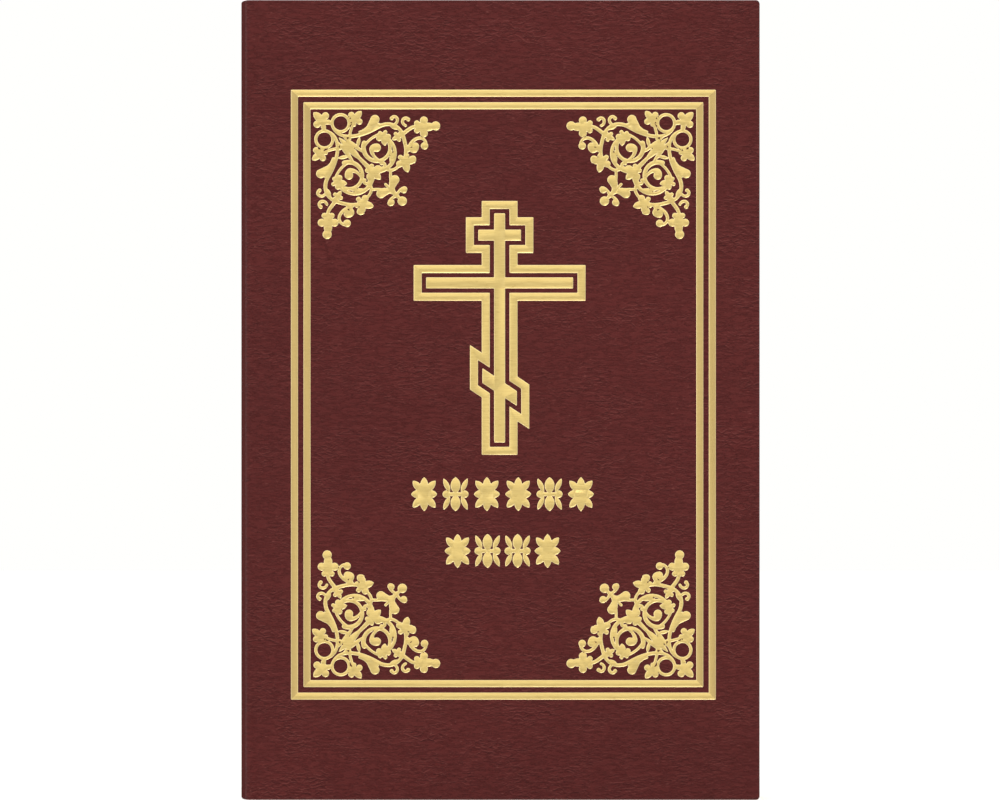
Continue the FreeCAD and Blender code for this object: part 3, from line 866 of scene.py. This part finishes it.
class Shader:
    """A node tree that is built from left to right."""

    def __init__(self, name, rest=True):
        self.material = bpy.data.materials.new(name)
        self.material.use_nodes = True
        self.tree = self.material.node_tree
        self.body = self.tree.nodes["Principled BSDF"]
        if rest:
            place = self.node("ShaderNodeAttribute")
            place.attribute_name = "rest"
            self.place = place.outputs["Vector"]
        else:
            scale = self.node("ShaderNodeVectorMath", operation="SCALE")
            scale.inputs["Scale"].default_value = 1 / MM
            self.link(self.node("ShaderNodeTexCoord").outputs["Object"], scale.inputs[0])
            self.place = scale.outputs[0]

    def node(self, kind, **settings):
        made = self.tree.nodes.new(kind)
        for key, value in settings.items():
            setattr(made, key, value)
        return made

    def link(self, source, target):
        self.tree.links.new(source, target)

    def stretched(self, scale, place=None):
        mapping = self.node("ShaderNodeMapping")
        mapping.inputs["Scale"].default_value = scale
        self.link(place or self.place, mapping.inputs["Vector"])
        return mapping.outputs["Vector"]

    def noise(self, scale, detail=3.0, rough=0.55, distortion=0.0):
        made = self.node("ShaderNodeTexNoise")
        made.inputs["Scale"].default_value = 1.0
        made.inputs["Detail"].default_value = detail
        made.inputs["Roughness"].default_value = rough
        made.inputs["Distortion"].default_value = distortion
        self.link(self.stretched(scale), made.inputs["Vector"])
        return made.outputs["Fac"]

    def emboss(self, scale, width, shift_mm, wander):
        """Creases between cells, light on one side and dark on the other as if lit from the head."""
        levels = []
        for move in (shift_mm / 2, -shift_mm / 2):
            shifted = self.node("ShaderNodeVectorMath", operation="ADD")
            shifted.inputs[1].default_value = (0, 0, move)
            self.link(self.place, shifted.inputs[0])
            place = self.stretched(scale, shifted.outputs[0])
            noise = self.node("ShaderNodeTexNoise")
            noise.inputs["Scale"].default_value = 1.7
            noise.inputs["Detail"].default_value = 3.0
            self.link(place, noise.inputs["Vector"])
            strayed = self.node("ShaderNodeVectorMath", operation="MULTIPLY_ADD")
            self.link(noise.outputs["Color"], strayed.inputs[0])
            strayed.inputs[1].default_value = (wander, wander, wander)
            self.link(place, strayed.inputs[2])
            cells = self.node("ShaderNodeTexVoronoi", feature="DISTANCE_TO_EDGE")
            cells.inputs["Scale"].default_value = 1.0
            self.link(strayed.outputs[0], cells.inputs["Vector"])
            levels.append(self.ramp(cells.outputs["Distance"], 0.0, width))
        return self.math("SUBTRACT", *levels)

    def math(self, operation, a, b=None):
        made = self.node("ShaderNodeMath", operation=operation)
        for value, target in zip((a, b), made.inputs):
            if isinstance(value, (int, float)):
                target.default_value = value
            elif value is not None:
                self.link(value, target)
        return made.outputs[0]

    def cells(self, scale):
        made = self.node("ShaderNodeTexVoronoi")
        made.inputs["Scale"].default_value = 1.0
        self.link(self.stretched(scale), made.inputs["Vector"])
        return made.outputs["Distance"]

    def ramp(self, source, low_value, high_value, to_low=0.0, to_high=1.0):
        made = self.node("ShaderNodeMapRange", clamp=True)
        for index, value in enumerate((low_value, high_value, to_low, to_high), start=1):
            made.inputs[index].default_value = value
        self.link(source, made.inputs[0])
        return made.outputs[0]

    def sum(self, a, b, weight=1.0):
        made = self.node("ShaderNodeMath", operation="MULTIPLY_ADD")
        self.link(b, made.inputs[0])
        made.inputs[1].default_value = weight
        self.link(a, made.inputs[2])
        return made.outputs[0]

    def mix(self, factor, a, b):
        made = self.node("ShaderNodeMix", data_type="RGBA")
        self.link(factor, made.inputs[0])
        for source, target in ((a, made.inputs[6]), (b, made.inputs[7])):
            if isinstance(source, tuple):
                target.default_value = (*source, 1.0)
            else:
                self.link(source, target)
        return made.outputs[2]

    def bump(self, height, strength, distance_mm):
        made = self.node("ShaderNodeBump")
        made.inputs["Strength"].default_value = strength
        made.inputs["Distance"].default_value = distance_mm * MM
        self.link(height, made.inputs["Height"])
        self.link(made.outputs["Normal"], self.body.inputs["Normal"])

    def finish(self, colour, roughness, specular=0.5, metallic=0.0):
        for key, value in (("Base Color", colour), ("Roughness", roughness),
                           ("Specular IOR Level", specular), ("Metallic", metallic)):
            target = self.body.inputs[key]
            if isinstance(value, tuple):
                target.default_value = (*value, 1.0)
            elif isinstance(value, float):
                target.default_value = value
            else:
                self.link(value, target)
        return self.material


def leather_material():
    """Burgundy leatherette: short cross creases with painted shade in their grooves and painted light and
    shade on their sides, fine pores, painted glints on the grain, small lighter specks and a painted sheen
    where it is seen edge on.
    """
    s = Shader("burgundy_leatherette")
    creases = s.noise((0.38, 0.38, 1.6), 5.0, 0.62, 0.8)
    grooves = s.ramp(creases, 0.43, 0.5)
    grain = s.noise((1.1, 1.1, 3.4), 4.0, 0.62)
    pores = s.cells((2.2, 2.2, 3.6))
    specks = s.noise((0.9, 0.9, 3.2), 2.0, 0.5)
    patches = s.noise((0.03, 0.03, 0.04), 2.0)
    clusters = s.ramp(s.noise((0.10, 0.10, 0.18), 4.0, 0.65), 0.40, 0.62, 0.1, 1.0)
    painted_relief_light = s.math("MULTIPLY", s.emboss((0.36, 0.36, 0.95), 0.16, 0.2, 1.1), clusters)
    # Darker where the crease noise is low, in the grooves that the bump sinks: painted shade in the grooves
    # over a tone that differs at random.
    tone = s.mix(s.ramp(creases, 0.36, 0.54, 0.6, 1.0), LEATHER_DARK, LEATHER_LIGHT)
    tone = s.mix(s.ramp(grain, 0.42, 0.66, 0.0, 0.3), tone, LEATHER_GLINT)
    # Painted shade on one side of each crease and painted highlight on the other, as if lit from the head.
    tone = s.mix(s.ramp(painted_relief_light, -0.1, -0.8, 0.0, 0.8), tone, LEATHER_CREASE_PAINTED_SHADE)
    tone = s.mix(s.ramp(painted_relief_light, 0.1, 0.8, 0.0, 0.8), tone, LEATHER_CREASE_PAINTED_HIGHLIGHT)
    tone = s.mix(s.ramp(specks, 0.68, 0.76, 0.0, 0.6), tone, LEATHER_SPECK)
    tone = s.mix(s.ramp(patches, 0.3, 0.7, 0.0, 0.3), tone, LEATHER_DARK)
    height = s.sum(s.sum(grooves, grain, 0.8), pores, 0.4)
    s.bump(height, 0.7, 0.16)
    # The skin is matt: where it is seen edge on, its real shine fades out and a painted sheen, a lighter hazy
    # tone, is mixed into its colour instead.
    facing = s.node("ShaderNodeLayerWeight").outputs["Facing"]
    tone = s.mix(s.ramp(facing, 0.35, 0.75, 0.0, 0.7), tone, LEATHER_PAINTED_SHEEN)
    return s.finish(tone, s.ramp(grain, 0.3, 0.7, 0.7, 0.54), s.ramp(facing, 0.35, 0.75, 0.18, 0.0))


def upright_foil(s):
    """How far a place belongs to the upright lines, which are coloured a little darker."""
    axes = s.node("ShaderNodeSeparateXYZ")
    s.link(s.place, axes.inputs[0])
    x, z = axes.outputs["X"], axes.outputs["Z"]
    outside = s.math("SUBTRACT", s.math("ABSOLUTE", s.math("SUBTRACT", x, FRAME_CENTRE[0])), FRAME_HALF[0])
    above = s.math("SUBTRACT", s.math("ABSOLUTE", s.math("SUBTRACT", z, FRAME_CENTRE[1])), FRAME_HALF[1])
    line = s.math("MULTIPLY", s.math("GREATER_THAN", outside, above),
                  s.math("GREATER_THAN", outside, -2 * FRAME_BAND - FRAME_GAP))
    return s.math("MULTIPLY", line, 0.75)


def gold_material():
    """Stamped foil: fine streaks, the leather's grain showing through and a painted highlight on the pressed
    rim.
    """
    s = Shader("gold_foil")
    streaks = s.noise((0.22, 1.0, 8.0), 3.0, 0.6)
    grain = s.noise((0.9, 0.9, 2.8), 3.0, 0.6)
    rim = s.node("ShaderNodeAttribute")
    rim.attribute_name = "depth"
    tone = s.mix(s.ramp(streaks, 0.3, 0.7), GOLD_DARK, GOLD_LIGHT)
    tone = s.mix(upright_foil(s), tone, GOLD_UPRIGHT)
    tone = s.mix(s.ramp(grain, 0.60, 0.75, 0.0, 0.6), tone, GOLD_WORN)
    # Painted highlight: the shallow rim of each foil element is coloured pale cream.
    tone = s.mix(s.ramp(rim.outputs["Fac"], 0.9, 0.1), tone, GOLD_RIM_HIGHLIGHT)
    s.bump(s.sum(grain, streaks, 0.3), 0.3, 0.07)
    return s.finish(tone, s.ramp(streaks, 0.3, 0.7, 0.32, 0.44), 0.5, 0.9)


def paper_material(name, light, dark, rest=True):
    """Uncoated paper with soft fibres, a slight unevenness of tone and darker streaks from leaf to leaf,
    partly painted shade on the page edges.
    """
    s = Shader(name, rest)
    fibres = s.noise((1.4, 9.0, 1.4), 4.0, 0.65)
    streaks = s.noise((0.004, 2.6, 0.004), 4.0, 0.7)
    tone = s.mix(s.ramp(fibres, 0.35, 0.65), dark, light)
    # Darker streaks from leaf to leaf: tone that differs at random, and painted shade along the page edges
    # where the leaves lie unevenly.
    tone = s.mix(s.ramp(streaks, 0.38, 0.62, 0.0, 0.9), tone, dark)
    s.bump(fibres, 0.15, 0.03)
    return s.finish(tone, 0.9, 0.2)


def fibre_material(name, light, dark, scale, rest=True, roughness=0.8, sheen=0.3):
    """Woven or twisted thread: bands of yarn across the given directions."""
    s = Shader(name, rest)
    yarn = s.node("ShaderNodeTexWave", bands_direction="DIAGONAL")
    yarn.inputs["Scale"].default_value = 1.0
    yarn.inputs["Distortion"].default_value = 1.2
    s.link(s.stretched(scale), yarn.inputs["Vector"])
    fuzz = s.noise((6.0, 6.0, 6.0), 2.0)
    tone = s.mix(yarn.outputs["Fac"], dark, light)
    s.bump(s.sum(yarn.outputs["Fac"], fuzz, 0.5), 0.5, 0.06)
    s.body.inputs["Sheen Weight"].default_value = sheen
    return s.finish(tone, roughness, 0.3)


def board_material():
    """Grey binder's board with pressed flecks."""
    s = Shader("binders_board", rest=False)
    flecks = s.noise((1.2, 4.0, 1.2), 5.0, 0.7)
    tone = s.mix(s.ramp(flecks, 0.35, 0.65), (0.17, 0.15, 0.12), (0.30, 0.27, 0.22))
    s.bump(flecks, 0.3, 0.08)
    return s.finish(tone, 0.92, 0.2)


def dress_frame():
    """Gives its own finish to each CAD node of the boards, pastedowns, hinge cloths, spine lining and sewing
    thread.
    """
    endpaper = paper_material("endpaper_pasted", ENDPAPER_LIGHT, ENDPAPER_DARK, rest=False)
    finishes = {
        "front_board": board_material(),
        "front_pastedown": endpaper,
        "front_hinge_cloth": fibre_material("joint_cloth", (0.11, 0.03, 0.025), (0.06, 0.015, 0.012),
                                            (3.0, 3.0, 6.0), rest=False),
        "spine_lining": fibre_material("mull", (0.62, 0.56, 0.45), (0.48, 0.43, 0.33), (5.0, 5.0, 5.0),
                                       rest=False),
        "sewing_thread": fibre_material("linen_thread", (0.72, 0.68, 0.58), (0.5, 0.46, 0.38),
                                        (8.0, 8.0, 8.0), rest=False),
    }
    finishes["back_board"] = finishes["front_board"]
    finishes["back_pastedown"] = endpaper
    finishes["back_hinge_cloth"] = finishes["front_hinge_cloth"]
    for name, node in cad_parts.items():
        key = name if name in finishes else name.rsplit("_", 1)[0]
        if key in finishes:
            node.data.materials.clear()
            node.data.materials.append(finishes[key])


# ---- studio ----

def studio_sheet(name, corners, material):
    mesh = bpy.data.meshes.new(name)
    mesh.from_pydata([tuple(Vector(c) * MM) for c in corners], [], [(0, 1, 2, 3)])
    mesh.materials.append(material)
    obj = bpy.data.objects.new(name, mesh)
    bpy.context.scene.collection.objects.link(obj)
    return obj


def pale_floor():
    """A floor that stays near white and keeps a soft contact shadow."""
    s = Shader("pale_floor", rest=False)
    s.finish((0.82, 0.82, 0.80), 0.9, 0.1)
    s.body.inputs["Emission Color"].default_value = (1.0, 1.0, 0.96, 1.0)
    s.body.inputs["Emission Strength"].default_value = 0.55
    return s.material


def softbox(name, place, target, width, height, power):
    light = bpy.data.lights.new(name, "AREA")
    light.shape = "RECTANGLE"
    light.size, light.size_y = width * MM, height * MM
    light.energy = power
    obj = bpy.data.objects.new(name, light)
    obj.location = Vector(place) * MM
    obj.rotation_mode = "QUATERNION"
    obj.rotation_quaternion = (Vector(target) - Vector(place)).to_track_quat("-Z", "Y")
    bpy.context.scene.collection.objects.link(obj)


def build_studio():
    reach = 4000
    studio_sheet("floor", ((-reach, -reach, 0), (reach, -reach, 0), (reach, reach, 0), (-reach, reach, 0)),
                 pale_floor())
    world = bpy.data.worlds.new("studio")
    world.use_nodes = True
    tree = world.node_tree
    sky = tree.nodes["Background"]
    sky.inputs["Color"].default_value = (1.0, 1.0, 0.985, 1.0)
    seen = tree.nodes.new("ShaderNodeLightPath").outputs["Is Camera Ray"]
    strength = tree.nodes.new("ShaderNodeMapRange")
    strength.inputs["To Min"].default_value = 0.62
    tree.links.new(seen, strength.inputs["Value"])
    tree.links.new(strength.outputs["Result"], sky.inputs["Strength"])
    bpy.context.scene.world = world
    middle = (0, 0, HEIGHT / 2)
    softbox("key_above", (-250, -700, 900), middle, 700, 500, 3.4)
    softbox("fill_right", (800, -500, 300), middle, 500, 700, 1.2)
    softbox("rim_back", (-600, 700, 600), middle, 500, 500, 1.8)


def build_camera():
    """Square on to the front cover, which fills the height of the picture."""
    picture_width = HEIGHT * 1000 / 800
    camera = bpy.data.cameras.new("camera")
    camera.lens = 500
    camera.sensor_width = 36
    camera.clip_end = 100
    distance = picture_width * camera.lens / camera.sensor_width
    obj = bpy.data.objects.new("camera", camera)
    obj.location = Vector((0.0, -COVER_OUT - distance, HEIGHT / 2)) * MM
    obj.rotation_euler = (math.pi / 2, 0, 0)
    bpy.context.scene.collection.objects.link(obj)
    bpy.context.scene.camera = obj
    bpy.context.scene.view_settings.view_transform = "Standard"


# ---- the book ----

def build_book():
    paper = paper_material("book_paper", PAGE_LIGHT, PAGE_DARK)
    endpaper = paper_material("endpaper_free", ENDPAPER_LIGHT, ENDPAPER_DARK)
    build_case(leather_material(), gold_material(), endpaper)
    build_leaves(paper)
    build_loose_leaf("front_flyleaf", endpaper)
    build_loose_leaf("title_leaf", paper)
    build_loose_leaf("last_leaf", paper)
    build_loose_leaf("back_flyleaf", endpaper)
    silks = (fibre_material("headband_cream", (0.75, 0.68, 0.52), (0.52, 0.45, 0.32), (2.0, 2.0, 9.0)),
             fibre_material("headband_red", (0.30, 0.03, 0.03), (0.16, 0.012, 0.014), (2.0, 2.0, 9.0)))
    build_headband("headband", BLOCK_Z[1] + 0.05, 1, silks)
    build_headband("tailband", BLOCK_Z[0] - 0.05, -1, silks)
    build_marker(fibre_material("marker_satin", (0.36, 0.016, 0.024), (0.22, 0.008, 0.012), (1.0, 1.0, 7.0),
                                roughness=0.45, sheen=0.1))
    dress_frame()


build_book()
build_studio()
build_camera()
